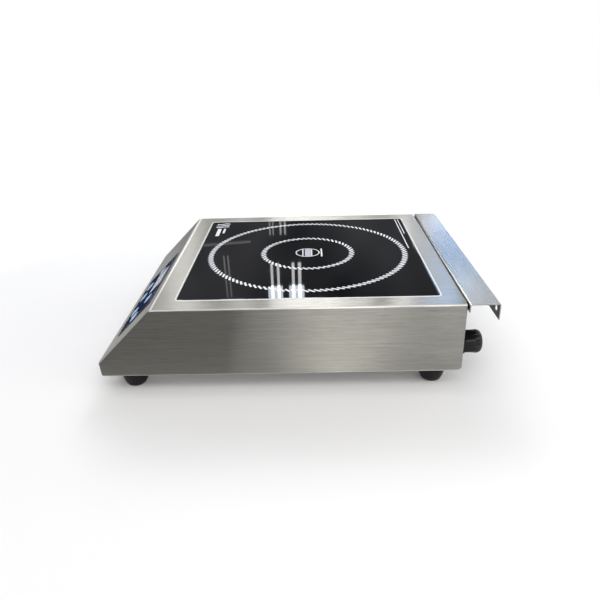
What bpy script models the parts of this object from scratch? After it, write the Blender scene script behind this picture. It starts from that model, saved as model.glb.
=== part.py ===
"""Countertop induction cooker: a folded steel body with a flush glass top, a sloping key panel and a rear guard.

Frame: +X to the user's right, +Y to the rear, +Z up. The four feet stand on z = 0, and the origin is the
centre of the footprint. All lengths are in metres.
"""

import math

import bmesh
import bpy
from mathutils import Matrix, Vector

# Driving dimensions of the body
WIDTH = 0.330
DEPTH = 0.420
FOOT_HEIGHT = 0.021
BODY_HEIGHT = 0.0777
LIP_RISE = 0.0167
LIP_LEAN = 0.0015
BODY_REAR_Y = 0.1769
SHEET = 0.001
BEND = 0.002
REAR_CORNER = 0.005
GAP = 0.0003
WELD = 0.000001

TOP_Z = FOOT_HEIGHT + BODY_HEIGHT
FRONT_TRIM = 0.00018  # rounding pulls the front bend back by this much
FRONT_Y = -DEPTH / 2 - FRONT_TRIM
SLOPE_RUN = BODY_HEIGHT - LIP_RISE
SLOPE_TOP_Y = FRONT_Y + SLOPE_RUN

# Openings of the folded body
FLANGE = 0.010
REAR_OPENING_X = (-0.151, 0.112)
REAR_OPENING_Z = (0.028, 0.0847)

# Glass top
GLASS_WIDTH = 0.283
GLASS_DEPTH = 0.279
GLASS_THICK = 0.005
GLASS_CORNER = 0.004
GLASS_Y = 0.0146
BEAD = 0.002
BEAD_PROUD = 0.0002
LEDGE_REACH = 0.010

# Heating assembly under the glass
COIL_Y = 0.0151
COIL_RADII = (0.028, 0.112)
COIL_THICK = 0.004
COIL_BASE_Z = 0.0833
COIL_RIDGES = 6
CARRIER_RADIUS = 0.120
CARRIER_THICK = 0.003
CARRIER_LEG_RADIUS = 0.004
CARRIER_LEG_REACH = 0.115
MICA_RADIUS = 0.116
MICA_THICK = 0.0005
SENSOR_WELL = (0.009, 0.012)

# Base, feet and their screws
BASE_Z = FOOT_HEIGHT + SHEET + GAP
BASE_TOP = BASE_Z + SHEET
BASE_HALF_WIDTH = 0.1625
BASE_Y = (-0.2055, 0.1715)
FOOT_X = 0.1415
FOOT_Y = (-0.1792, 0.1497)
FOOT_BOSS_RADIUS = 0.013
FOOT_TOP_RADIUS = 0.0152
FOOT_SOLE_RADIUS = 0.0116
SCREW_RADIUS = 0.002
SCREW_HOLE = 0.0025

# Fan on the base
FAN_X = -0.095
FAN_Y = -0.005
FAN_SIDE = 0.120
FAN_HEIGHT = 0.025
FAN_BORE = 0.0585
FAN_TIP = 0.0565
FAN_HUB = 0.020
FAN_BLADES = 7
FAN_Z = BASE_TOP + GAP

# Power electronics
BOARD_SIZE = (0.150, 0.180)
BOARD_CENTRE = (0.075, 0.015)
BOARD_THICK = 0.0016
BOARD_Z = 0.0310

# Rear guard and its fixings
GUARD_Y = (0.1787, DEPTH / 2)
GUARD_FRONT_DROP = 0.009
GUARD_REAR_DROP = 0.0177
GUARD_FIXING_X = 0.155
GUARD_FIXING_Z = 0.0935
GUARD_HOLE_X = 0.1535
GUARD_HOLE_Z = 0.0895
GUARD_HOLE_RADIUS = 0.0035

# Cord gland
GLAND_X = 0.134
GLAND_Z = 0.040
GLAND_END_Y = 0.2032
GLAND_THREAD = 0.0095
GLAND_BORE = 0.0075
GLAND_COLLAR = 0.006
GLAND_NUT_RADIUS = 0.0138

# Key panel, placed on the slope: x across, s down from the upper bend, offsets along the outward normal
OVERLAY_CENTRE = (0.052, 0.038)
OVERLAY_SIZE = (0.160, 0.058)
OVERLAY_THICK = 0.0005
OVERLAY_FACE = GAP + OVERLAY_THICK
WINDOW_CENTRE = (0.037, 0.0255)
WINDOW_SIZE = (0.058, 0.021)
KEY_SIZE = (0.014, 0.010)
KEY_THICK = 0.0008
KEY_CLEARANCE = 0.0004
KEY_STEM = 0.0013
KEY_STEM_END = -0.0037
CONTROL_BOARD_FACE = -0.0090
CONTROL_BOARD_SIZE = (0.156, 0.047)
KEYS = {
    "function": (-0.001, 0.032),
    "minus": (0.020, 0.050),
    "plus": (0.053, 0.050),
    "timer": (0.095, 0.050),
    "lock": (0.098, 0.024),
    "power": (0.122, 0.040),
}

ROUND = 24
SMALL_ROUND = 12
SMOOTH_ANGLE = math.radians(35)
# Turns an outline drawn in (y, z) and thickened along its own z so that the thickness lies along X.
SIDEWAYS = Matrix(((0, 0, 1, 0), (1, 0, 0, 0), (0, 1, 0, 0), (0, 0, 0, 1)))


def clear_scene():
    for obj in list(bpy.data.objects):
        bpy.data.objects.remove(obj, do_unlink=True)


def make_collection(name):
    collection = bpy.data.collections.new(name)
    bpy.context.scene.collection.children.link(collection)
    return collection


def make_material(name, color, roughness, metallic=0.0):
    material = bpy.data.materials.new(name)
    material.use_nodes = True
    shader = material.node_tree.nodes["Principled BSDF"]
    shader.inputs["Base Color"].default_value = (*color, 1.0)
    shader.inputs["Roughness"].default_value = roughness
    shader.inputs["Metallic"].default_value = metallic
    return material


def make_materials():
    return {
        "brushed_steel": make_material("brushed_steel", (0.60, 0.60, 0.57), 0.32, 1.0),
        "plain_steel": make_material("plain_steel", (0.55, 0.56, 0.57), 0.38, 1.0),
        "black_glass": make_material("black_glass", (0.012, 0.012, 0.014), 0.04),
        "bead": make_material("bead", (0.72, 0.72, 0.70), 0.30),
        "rubber": make_material("rubber", (0.015, 0.015, 0.016), 0.60),
        "black_plastic": make_material("black_plastic", (0.012, 0.012, 0.013), 0.35),
        "overlay": make_material("overlay", (0.030, 0.050, 0.110), 0.30),
        "key_pad": make_material("key_pad", (0.240, 0.420, 0.680), 0.35),
        "window": make_material("window", (0.760, 0.750, 0.800), 0.12),
        "circuit_board": make_material("circuit_board", (0.02, 0.16, 0.07), 0.45),
        "black_part": make_material("black_part", (0.02, 0.02, 0.02), 0.50),
        "aluminium": make_material("aluminium", (0.77, 0.78, 0.80), 0.35, 1.0),
        "copper": make_material("copper", (0.72, 0.34, 0.17), 0.35, 1.0),
        "ferrite": make_material("ferrite", (0.07, 0.07, 0.08), 0.55),
        "mica": make_material("mica", (0.62, 0.58, 0.50), 0.50),
        "cream_plastic": make_material("cream_plastic", (0.78, 0.76, 0.68), 0.45),
        "capacitor": make_material("capacitor", (0.70, 0.55, 0.10), 0.40),
        "terminal_green": make_material("terminal_green", (0.05, 0.35, 0.16), 0.45),
    }


clear_scene()
PARTS = make_collection("induction_cooker")
CUTTERS = make_collection("cutters")
MATERIALS = make_materials()


# Modelling helpers


def link_mesh(name, mesh):
    obj = bpy.data.objects.new(name, mesh)
    PARTS.objects.link(obj)
    return obj


def from_bmesh(name, shape):
    mesh = bpy.data.meshes.new(name)
    shape.to_mesh(mesh)
    shape.free()
    return link_mesh(name, mesh)


def settle(obj):
    """Swaps an object for a plain mesh object of its evaluated, welded shape."""
    bpy.context.view_layer.update()
    graph = bpy.context.evaluated_depsgraph_get()
    mesh = bpy.data.meshes.new_from_object(obj.evaluated_get(graph))
    shape = bmesh.new()
    shape.from_mesh(mesh)
    bmesh.ops.remove_doubles(shape, verts=shape.verts, dist=WELD)
    bmesh.ops.recalc_face_normals(shape, faces=shape.faces)
    shape.to_mesh(mesh)
    shape.free()
    mesh.shade_smooth()
    mesh.set_sharp_from_angle(angle=SMOOTH_ANGLE)
    name = obj.name
    place = obj.matrix_world.copy()
    bpy.data.objects.remove(obj, do_unlink=True)
    mesh.name = name
    settled = link_mesh(name, mesh)
    settled.matrix_world = place
    return settled


def combine(target, other, operation):
    modifier = target.modifiers.new(other.name, "BOOLEAN")
    modifier.operation = operation
    modifier.solver = "EXACT"
    modifier.object = other


def fuse(target, *others):
    """Joins the others into the target and returns the settled result."""
    for other in others:
        combine(target, other, "UNION")
    result = settle(target)
    for other in others:
        bpy.data.objects.remove(other, do_unlink=True)
    return result


def carve(target, *cutters):
    """Cuts the cutters out of the target, keeping them as hidden helpers."""
    for cutter in cutters:
        combine(target, cutter, "DIFFERENCE")
        cutter.name = "cut_" + cutter.name
        cutter.hide_render = True
        cutter.display_type = "WIRE"
        if cutter.name in PARTS.objects:
            PARTS.objects.unlink(cutter)
            CUTTERS.objects.link(cutter)
    return settle(target)


def finish(obj, material, location=None, parent=None):
    obj.data.materials.clear()
    obj.data.materials.append(MATERIALS[material])
    if parent is not None:
        obj.parent = parent
    if location is not None:
        obj.location = location
    return obj


def block(name, size, centre=(0, 0, 0)):
    shape = bmesh.new()
    bmesh.ops.create_cube(shape, size=1.0)
    bmesh.ops.scale(shape, vec=size, verts=shape.verts)
    bmesh.ops.translate(shape, vec=centre, verts=shape.verts)
    return from_bmesh(name, shape)


def block_between(name, low, high):
    size = [b - a for a, b in zip(low, high)]
    centre = [(a + b) / 2 for a, b in zip(low, high)]
    return block(name, size, centre)


def rod(name, radius, low, high, centre=(0, 0), steps=SMALL_ROUND, axis="Z"):
    """A plain rod from low to high along an axis; centre holds its two other coordinates."""
    shape = bmesh.new()
    bmesh.ops.create_cone(
        shape, cap_ends=True, segments=steps, radius1=radius, radius2=radius, depth=high - low
    )
    bmesh.ops.translate(shape, vec=(0, 0, (low + high) / 2), verts=shape.verts)
    if axis == "Y":
        turn = Matrix.Rotation(-math.pi / 2, 4, "X")
        bmesh.ops.transform(shape, matrix=turn, verts=shape.verts)
        bmesh.ops.translate(shape, vec=(centre[0], 0, centre[1]), verts=shape.verts)
    else:
        bmesh.ops.translate(shape, vec=(centre[0], centre[1], 0), verts=shape.verts)
    return from_bmesh(name, shape)


def arc(centre, radius, start, end, steps):
    """Points of an arc, in degrees, both ends included."""
    angles = [math.radians(start + (end - start) * i / steps) for i in range(steps + 1)]
    return [(centre[0] + radius * math.cos(a), centre[1] + radius * math.sin(a)) for a in angles]


def circle(centre, radius, steps=SMALL_ROUND):
    return arc(centre, radius, 0, 360, steps)[:-1]


def rounded_rectangle(centre, size, radius, steps=3):
    half_x = size[0] / 2 - radius
    half_y = size[1] / 2 - radius
    corners = ((1, 1, 0), (-1, 1, 90), (-1, -1, 180), (1, -1, 270))
    points = []
    for side_x, side_y, start in corners:
        corner = (centre[0] + side_x * half_x, centre[1] + side_y * half_y)
        points += arc(corner, radius, start, start + 90, steps)
    return points


def slot(centre, length, width, upright=False):
    """A round-ended slot along the first axis, or along the second when upright."""
    reach = length / 2 - width / 2
    points = arc((reach, 0), width / 2, -90, 90, 4) + arc((-reach, 0), width / 2, 90, 270, 4)
    if upright:
        points = [(-y, x) for x, y in points]
    return [(centre[0] + x, centre[1] + y) for x, y in points]


def plate(name, outline, thickness, holes=()):
    """A flat sheet cut from outlines in its own XY plane, with its thickness centred on z = 0."""
    curve = bpy.data.curves.new(name, "CURVE")
    curve.dimensions = "2D"
    curve.fill_mode = "BOTH"
    curve.extrude = thickness / 2
    for points in (outline, *holes):
        spline = curve.splines.new("POLY")
        spline.points.add(len(points) - 1)
        spline.use_cyclic_u = True
        for point, (x, y) in zip(spline.points, points):
            point.co = (x, y, 0, 1)
    return settle(link_mesh(name, curve))


def turned(name, profile, steps=ROUND, closed=True):
    """A body turned about Z from (radius, z) points that run down its outer side."""
    shape = bmesh.new()
    points = [shape.verts.new((radius, 0, z)) for radius, z in profile]
    for first, second in zip(points, points[1:]):
        shape.edges.new((first, second))
    if closed:
        shape.edges.new((points[-1], points[0]))
    obj = from_bmesh(name, shape)
    screw = obj.modifiers.new("turn", "SCREW")
    screw.steps = steps
    screw.render_steps = steps
    screw.use_merge_vertices = True
    screw.merge_threshold = 0.00001
    return settle(obj)


def merge_flat_faces(obj):
    shape = bmesh.new()
    shape.from_mesh(obj.data)
    bmesh.ops.dissolve_limit(
        shape, angle_limit=math.radians(1), verts=shape.verts, edges=shape.edges
    )
    shape.to_mesh(obj.data)
    shape.free()


def round_edges(obj, width, segments=2):
    bevel = obj.modifiers.new("edges", "BEVEL")
    bevel.width = width
    bevel.segments = segments
    bevel.limit_method = "ANGLE"


def thicken(obj, thickness):
    solidify = obj.modifiers.new("sheet", "SOLIDIFY")
    solidify.thickness = thickness
    solidify.offset = -1
    solidify.use_even_offset = True


def pan_screw(name, head_radius, length):
    """A pan-head screw with its shank up +Z: the head's seat is at z = 0 and its crown below."""
    crown = -0.0022
    profile = [
        (0, length),
        (SCREW_RADIUS, length),
        (SCREW_RADIUS, 0),
        (head_radius, 0),
        (head_radius * 0.92, crown * 0.7),
        (head_radius * 0.6, crown),
        (0.0012, crown),
        (0, crown * 0.45),
    ]
    return turned(name, profile, SMALL_ROUND, closed=False)


# Body


def body_profile():
    """Side outline of the body, as (y, z) points."""
    corner = (BODY_REAR_Y - REAR_CORNER, FOOT_HEIGHT + REAR_CORNER)
    rear_corner = arc(corner, REAR_CORNER, -90, 0, 4)
    return [
        (FRONT_Y + LIP_LEAN, FOOT_HEIGHT),
        *rear_corner,
        (BODY_REAR_Y, TOP_Z),
        (SLOPE_TOP_Y, TOP_Z),
        (FRONT_Y, FOOT_HEIGHT + LIP_RISE),
    ]


def slope_openings(panel):
    """Cutters for the key stems and the display, standing through the sloping sheet."""
    cutters = []
    for name, (x, s) in KEYS.items():
        cutters.append(rod("stem_hole_" + name, 0.0021, -0.003, 0.003, (x, -s)))
    opening = (WINDOW_SIZE[0] - 0.004, WINDOW_SIZE[1] - 0.004, 0.006)
    cutters.append(block("display_opening", opening, (WINDOW_CENTRE[0], -WINDOW_CENTRE[1], 0)))
    for cutter in cutters:
        cutter.parent = panel
    return cutters


def housing_shell(panel):
    shell = plate("housing_shell", body_profile(), WIDTH)
    shell.data.transform(SIDEWAYS)
    merge_flat_faces(shell)
    round_edges(shell, BEND, 3)
    thicken(shell, SHEET)
    inner = WIDTH / 2 - FLANGE
    bottom = block_between(
        "bottom_opening",
        (-inner, FRONT_Y + FLANGE, FOOT_HEIGHT - 0.005),
        (inner, BODY_REAR_Y - FLANGE, FOOT_HEIGHT + 0.005),
    )
    rear = block_between(
        "rear_opening",
        (REAR_OPENING_X[0], BODY_REAR_Y - 0.005, REAR_OPENING_Z[0]),
        (REAR_OPENING_X[1], BODY_REAR_Y + 0.005, REAR_OPENING_Z[1]),
    )
    aperture_size = (GLASS_WIDTH + 2 * BEAD, GLASS_DEPTH + 2 * BEAD)
    outline = rounded_rectangle((0, GLASS_Y), aperture_size, GLASS_CORNER + BEAD, 5)
    aperture = plate("glass_aperture", outline, 0.010)
    aperture.location.z = TOP_Z
    wall = (BODY_REAR_Y - 0.005, BODY_REAR_Y + 0.005)
    gland = rod("gland_hole", GLAND_THREAD + 0.0007, *wall, (GLAND_X, GLAND_Z), ROUND, "Y")
    fixings = []
    for side in (-1, 1):
        place = (side * GUARD_FIXING_X, GUARD_FIXING_Z)
        fixings.append(rod("fixing_hole", SCREW_HOLE, *wall, place, axis="Y"))
    shell = carve(shell, bottom, rear, aperture, gland, *fixings, *slope_openings(panel))
    finish(shell, "brushed_steel")


def base_plate():
    """Bottom sheet: an intake grille under the fan, vents under the board and four foot holes."""
    middle_y = sum(BASE_Y) / 2
    size = (2 * BASE_HALF_WIDTH, BASE_Y[1] - BASE_Y[0])
    outline = rounded_rectangle((0, middle_y), size, 0.003, 1)
    holes = [circle((side * FOOT_X, y), SCREW_HOLE, 8) for side in (-1, 1) for y in FOOT_Y]
    grille_radius = 0.052
    for row in range(-5, 6):
        offset = row * 0.009
        length = 2 * math.sqrt(grille_radius**2 - offset**2)
        holes.append(slot((FAN_X, FAN_Y + offset), length, 0.004))
    for row in range(6):
        holes.append(slot((0.075, 0.100 + row * 0.009), 0.080, 0.004))
    base = plate("base_plate", outline, SHEET, holes)
    finish(base, "plain_steel", (0, 0, BASE_Z + SHEET / 2))


def rear_panel():
    """Louvred exhaust panel behind the opening in the rear wall."""
    overlap = 0.0035
    low_z = REAR_OPENING_Z[0] - 0.0015
    high_z = REAR_OPENING_Z[1] + overlap
    left = REAR_OPENING_X[0] - overlap
    right = REAR_OPENING_X[1] + overlap
    centre = ((left + right) / 2, (low_z + high_z) / 2)
    outline = rounded_rectangle(centre, (right - left, high_z - low_z), 0.002, 1)
    slots = 20
    pitch = 0.012
    middle = (REAR_OPENING_X[0] + REAR_OPENING_X[1]) / 2
    holes = []
    for index in range(slots):
        x = middle + (index - (slots - 1) / 2) * pitch
        holes.append(slot((x, centre[1]), 0.036, 0.004, upright=True))
    panel = plate("rear_panel", outline, SHEET, holes)
    panel.data.transform(Matrix.Rotation(math.pi / 2, 4, "X"))
    finish(panel, "plain_steel", (0, BODY_REAR_Y - 1.5 * SHEET - GAP, 0))


def rear_guard():
    """Folded channel level with the top: plate, short front flange and deeper rear flange."""
    shape = bmesh.new()
    profile = [
        (GUARD_Y[0], TOP_Z - GUARD_FRONT_DROP),
        (GUARD_Y[0], TOP_Z),
        (GUARD_Y[1], TOP_Z),
        (GUARD_Y[1], TOP_Z - GUARD_REAR_DROP),
    ]
    points = [shape.verts.new((-WIDTH / 2, y, z)) for y, z in profile]
    edges = [shape.edges.new(pair) for pair in zip(points, points[1:])]
    grown = bmesh.ops.extrude_edge_only(shape, edges=edges)["geom"]
    moved = [item for item in grown if isinstance(item, bmesh.types.BMVert)]
    bmesh.ops.translate(shape, vec=(WIDTH, 0, 0), verts=moved)
    bmesh.ops.recalc_face_normals(shape, faces=shape.faces)
    top = max(shape.faces, key=lambda face: face.calc_center_median().z)
    if top.normal.z < 0:
        bmesh.ops.reverse_faces(shape, faces=shape.faces)
    guard = from_bmesh("rear_guard", shape)
    round_edges(guard, 0.0015, 3)
    thicken(guard, SHEET)
    cutters = []
    for side in (-1, 1):
        front = (GUARD_Y[0] - 0.003, GUARD_Y[0] + 0.003)
        rear = (GUARD_Y[1] - 0.003, GUARD_Y[1] + 0.003)
        fixing = (side * GUARD_FIXING_X, GUARD_FIXING_Z)
        hanging = (side * GUARD_HOLE_X, GUARD_HOLE_Z)
        cutters.append(rod("guard_fixing_hole", SCREW_HOLE, *front, fixing, axis="Y"))
        cutters.append(rod("guard_wall_hole", GUARD_HOLE_RADIUS, *rear, hanging, axis="Y"))
    finish(carve(guard, *cutters), "brushed_steel")


def guard_fixings():
    """A black spacer and a black screw on each side, between the rear wall and the guard."""
    thickness = GUARD_Y[0] - BODY_REAR_Y - 2 * GAP
    for side, word in ((-1, "left"), (1, "right")):
        place = Vector((side * GUARD_FIXING_X, BODY_REAR_Y + GAP, GUARD_FIXING_Z))
        ring = [
            (SCREW_HOLE, thickness),
            (0.0042, thickness),
            (0.0042, 0),
            (SCREW_HOLE, 0),
        ]
        spacer = turned("guard_spacer_" + word, ring, SMALL_ROUND)
        spacer.data.transform(Matrix.Rotation(-math.pi / 2, 4, "X"))
        finish(spacer, "black_plastic", place)
        screw = pan_screw("guard_screw_" + word, 0.0037, 0.010)
        screw.data.transform(Matrix.Rotation(math.pi / 2, 4, "X"))
        seat = Vector((place.x, GUARD_Y[0] + SHEET + GAP, place.z))
        finish(screw, "black_plastic", seat)


def feet():
    """Tapered rubber feet, each with a boss against the base plate and a screw up its middle."""
    top = FOOT_HEIGHT + SHEET
    shoulder = FOOT_HEIGHT - GAP
    well_radius = 0.0055
    well_depth = 0.008
    seat = (FOOT_SOLE_RADIUS - 0.0025, 0.0025)
    sole = arc(seat, 0.0025, 0, -90, 3)
    profile = [
        (SCREW_HOLE, top),
        (FOOT_BOSS_RADIUS, top),
        (FOOT_BOSS_RADIUS, shoulder),
        (FOOT_TOP_RADIUS, shoulder),
        (FOOT_TOP_RADIUS, shoulder - 0.003),
        *sole,
        (well_radius, 0),
        (well_radius, well_depth),
        (SCREW_HOLE, well_depth),
    ]
    for end, y in zip(("front", "rear"), FOOT_Y):
        for side, word in ((-1, "left"), (1, "right")):
            place = (side * FOOT_X, y, 0)
            foot = turned(f"foot_{end}_{word}", profile, 20)
            finish(foot, "rubber", place)
            screw = pan_screw(f"foot_screw_{end}_{word}", 0.0042, 0.020)
            finish(screw, "plain_steel", (place[0], y, well_depth - GAP))


# Glass top and heating assembly


def glass_top():
    glass_low = TOP_Z - GLASS_THICK
    size = (GLASS_WIDTH, GLASS_DEPTH)
    outline = rounded_rectangle((0, 0), size, GLASS_CORNER, 5)
    glass = plate("ceramic_glass", outline, GLASS_THICK)
    merge_flat_faces(glass)
    round_edges(glass, 0.0006, 2)
    finish(settle(glass), "black_glass", (0, GLASS_Y, TOP_Z - GLASS_THICK / 2))

    inner = rounded_rectangle(
        (0, 0), (GLASS_WIDTH + 2 * GAP, GLASS_DEPTH + 2 * GAP), GLASS_CORNER + GAP, 5
    )
    reach = BEAD - GAP
    outer = rounded_rectangle(
        (0, 0), (GLASS_WIDTH + 2 * reach, GLASS_DEPTH + 2 * reach), GLASS_CORNER + reach, 5
    )
    bead_height = TOP_Z + BEAD_PROUD - glass_low
    bead = plate("glass_seal", outer, bead_height, [inner])
    finish(bead, "bead", (0, GLASS_Y, glass_low + bead_height / 2))


def glass_support_frame():
    """Angle frame under the top sheet: a ledge for the glass and a rim that is welded to the sheet."""
    ledge_top = TOP_Z - GLASS_THICK - GAP
    rim_top = TOP_Z - SHEET - GAP
    outer = (GLASS_WIDTH + 0.016, GLASS_DEPTH + 0.016)
    inner = (GLASS_WIDTH - 2 * LEDGE_REACH, GLASS_DEPTH - 2 * LEDGE_REACH)
    outline = rounded_rectangle((0, 0), outer, 0.002, 1)
    frame = plate(
        "glass_support_frame", outline, rim_top - ledge_top + SHEET,
        [rounded_rectangle((0, 0), inner, 0.006, 2)],
    )
    frame.location = (0, GLASS_Y, (rim_top + ledge_top - SHEET) / 2)
    hollow = block_between(
        "support_frame_hollow",
        (-outer[0] / 2 + SHEET, GLASS_Y - outer[1] / 2 + SHEET, ledge_top),
        (outer[0] / 2 - SHEET, GLASS_Y + outer[1] / 2 - SHEET, rim_top + SHEET),
    )
    finish(carve(frame, hollow), "plain_steel")


def coil_carrier():
    """Plastic disc on four legs, with a well for the sensor spring in its middle."""
    top = COIL_BASE_Z - GAP
    low = top - CARRIER_THICK
    well_inner, well_outer = SENSOR_WELL
    well_floor = low - 0.004
    profile = [
        (CARRIER_RADIUS, top),
        (CARRIER_RADIUS, low),
        (well_outer, low),
        (well_outer, well_floor),
        (0, well_floor),
        (0, well_floor + 0.0015),
        (well_inner, well_floor + 0.0015),
        (well_inner, top),
    ]
    disc = turned("coil_carrier", profile, 36)
    disc.location.y = COIL_Y
    legs = []
    for angle in (60, 120, 240, 300):
        x = CARRIER_LEG_REACH * math.cos(math.radians(angle))
        y = COIL_Y + CARRIER_LEG_REACH * math.sin(math.radians(angle))
        middle = (low + top) / 2
        legs.append(rod(f"leg_{angle}", CARRIER_LEG_RADIUS, BASE_TOP + GAP, middle, (x, y), 10))
    finish(fuse(disc, *legs), "cream_plastic")


def induction_coil():
    """Flat spiral winding, as a turned ring whose top is ridged like its turns."""
    inner, outer = COIL_RADII
    top = COIL_BASE_Z + COIL_THICK
    pitch = (outer - inner) / COIL_RIDGES
    ridges = []
    for index in range(COIL_RIDGES):
        start = inner + index * pitch
        ridges.append((start, top - 0.0015))
        ridges.append((start + pitch * 0.5, top))
    profile = [*ridges, (outer, top - 0.0015), (outer, COIL_BASE_Z), (inner, COIL_BASE_Z)]
    finish(turned("induction_coil", profile, 32), "copper", (0, COIL_Y, 0))


def coil_extras():
    """Ferrite bars, mica sheet, and the sprung temperature sensor under the glass."""
    bar = (0.060, 0.010, 0.005)
    bar_top = COIL_BASE_Z - GAP - CARRIER_THICK - GAP
    for index in range(4):
        ferrite = block(f"ferrite_bar_{index + 1}", bar)
        place = Matrix.Rotation(index * math.pi / 2, 3, "Z") @ Vector((0.075, 0, 0))
        finish(ferrite, "ferrite", (place.x, COIL_Y + place.y, bar_top - bar[2] / 2))
        ferrite.rotation_euler.z = index * math.pi / 2
    mica_low = COIL_BASE_Z + COIL_THICK + GAP
    mica = plate("mica_sheet", circle((0, 0), MICA_RADIUS, 36), MICA_THICK, [circle((0, 0), 0.013)])
    finish(mica, "mica", (0, COIL_Y, mica_low + MICA_THICK / 2))

    glass_low = TOP_Z - GLASS_THICK
    cap_top = glass_low - GAP
    cap_low = cap_top - 0.005
    cap = [
        (0, cap_top),
        (0.0080, cap_top),
        (0.0080, cap_low),
        (0.0030, cap_low),
        (0.0030, cap_low - 0.004),
        (0, cap_low - 0.004),
    ]
    finish(turned("sensor_cap", cap, 16, closed=False), "cream_plastic", (0, COIL_Y, 0))
    well_floor = COIL_BASE_Z - GAP - CARRIER_THICK - 0.004 + 0.0015
    sensor_spring(well_floor + GAP, cap_low - GAP)


def sensor_spring(low, high):
    wire = 0.0005
    radius = 0.0055
    turns = 4
    steps = 9
    curve = bpy.data.curves.new("sensor_spring", "CURVE")
    curve.dimensions = "3D"
    curve.bevel_depth = wire
    curve.bevel_resolution = 1
    curve.use_fill_caps = True
    spline = curve.splines.new("POLY")
    count = turns * steps
    spline.points.add(count)
    for index, point in enumerate(spline.points):
        angle = 2 * math.pi * index / steps
        height = low + wire + (high - low - 2 * wire) * index / count
        point.co = (radius * math.cos(angle), radius * math.sin(angle), height, 1)
    finish(settle(link_mesh("sensor_spring", curve)), "plain_steel", (0, COIL_Y, 0))


# Fan


def fan_frame():
    size = (FAN_SIDE, FAN_SIDE, FAN_HEIGHT)
    middle = FAN_HEIGHT / 2
    frame = block("fan_frame", size, (0, 0, middle))
    bore = rod("fan_bore", FAN_BORE, -0.001, FAN_HEIGHT + 0.001, steps=40)
    holes = []
    for x in (-1, 1):
        for y in (-1, 1):
            place = (x * 0.0525, y * 0.0525)
            holes.append(rod("fan_screw_hole", 0.0022, -0.001, FAN_HEIGHT + 0.001, place, 8))
    frame = carve(frame, bore, *holes)
    strut_height = 0.003
    mount = rod("fan_mount", FAN_HUB, 0.0005, 0.0005 + strut_height, steps=ROUND)
    struts = []
    for angle in (0, 90):
        length = (2 * FAN_BORE + 0.002, 0.004, strut_height - 0.0004)
        strut = block(f"strut_{angle}", length, (0, 0, 0.0005 + strut_height / 2))
        strut.data.transform(Matrix.Rotation(math.radians(angle + 45), 4, "Z"))
        struts.append(strut)
    finish(fuse(frame, mount, *struts), "black_plastic", (FAN_X, FAN_Y, FAN_Z))


def fan_blade(index, low, high):
    """A twisted blade: steeper at the hub than at the tip."""
    root = FAN_HUB - 0.001
    span = FAN_TIP - root
    chord = 0.020
    shape = bmesh.new()
    bmesh.ops.create_grid(shape, x_segments=3, y_segments=1, size=0.5)
    turn = Matrix.Rotation(2 * math.pi * index / FAN_BLADES, 4, "Z")
    for vertex in shape.verts:
        along = vertex.co.x + 0.5
        pitch = math.radians(48 - 22 * along)
        width = vertex.co.y * chord * (1 + 0.35 * along)
        radial = root + span * along
        rise = width * math.sin(pitch)
        vertex.co = turn @ Vector((radial, width * math.cos(pitch), rise + (low + high) / 2))
    blade = from_bmesh(f"blade_{index}", shape)
    thicken(blade, 0.0012)
    return settle(blade)


def fan_rotor():
    low = 0.0045
    high = 0.0235
    profile = [
        (0, high),
        (FAN_HUB - 0.002, high),
        (FAN_HUB, high - 0.002),
        (FAN_HUB, low),
        (0, low),
    ]
    hub = turned("fan_rotor", profile, 28, closed=False)
    blades = [fan_blade(index, low, high) for index in range(FAN_BLADES)]
    finish(fuse(hub, *blades), "black_part", (FAN_X, FAN_Y, FAN_Z))


# Power electronics


def board_tray():
    """Plastic tray on the base with a post under each corner of the power board."""
    margin = 0.003
    low = BASE_TOP + GAP
    high = low + 0.002
    half_x = BOARD_SIZE[0] / 2 + margin
    half_y = BOARD_SIZE[1] / 2 + margin
    centre_x, centre_y = BOARD_CENTRE
    tray = block_between(
        "board_tray",
        (centre_x - half_x, centre_y - half_y, low),
        (centre_x + half_x, centre_y + half_y, high),
    )
    posts = []
    for side_x in (-1, 1):
        for side_y in (-1, 1):
            x = centre_x + side_x * (BOARD_SIZE[0] / 2 - 0.006)
            y = centre_y + side_y * (BOARD_SIZE[1] / 2 - 0.006)
            posts.append(rod("post", 0.003, low + 0.001, BOARD_Z - GAP, (x, y), 8))
    finish(fuse(tray, *posts), "cream_plastic")
    board = block("power_board", (*BOARD_SIZE, BOARD_THICK))
    finish(board, "circuit_board", (centre_x, centre_y, BOARD_Z + BOARD_THICK / 2))


def heatsink():
    """Finned extrusion whose fins stand up and run front to rear."""
    fins = 7
    fin = 0.0016
    width = 0.050
    height = 0.036
    foot = 0.006
    pitch = (width - fin) / (fins - 1)
    outline = [(0, 0), (width, 0)]
    for index in reversed(range(fins)):
        left = index * pitch
        outline += [(left + fin, height), (left, height)]
        if index > 0:
            outline += [(left, foot), (left - pitch + fin, foot)]
    body = plate("heatsink", outline, 0.090)
    body.data.transform(Matrix.Rotation(math.pi / 2, 4, "X"))
    finish(body, "aluminium", (0.008, -0.015, BOARD_Z + BOARD_THICK + GAP))


def legged_package(name, size, legs, place):
    """A power semiconductor: a moulded body standing on its legs."""
    width, depth, height = size
    leg_height = 0.006
    body = block(name, size, (0, 0, leg_height + height / 2))
    pins = []
    for index in range(legs):
        x = (index - (legs - 1) / 2) * width / (legs + 0.5)
        pins.append(block("pin", (0.0012, 0.0007, leg_height + 0.001), (x, 0, leg_height / 2)))
    finish(fuse(body, *pins), "black_part", place)


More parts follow.
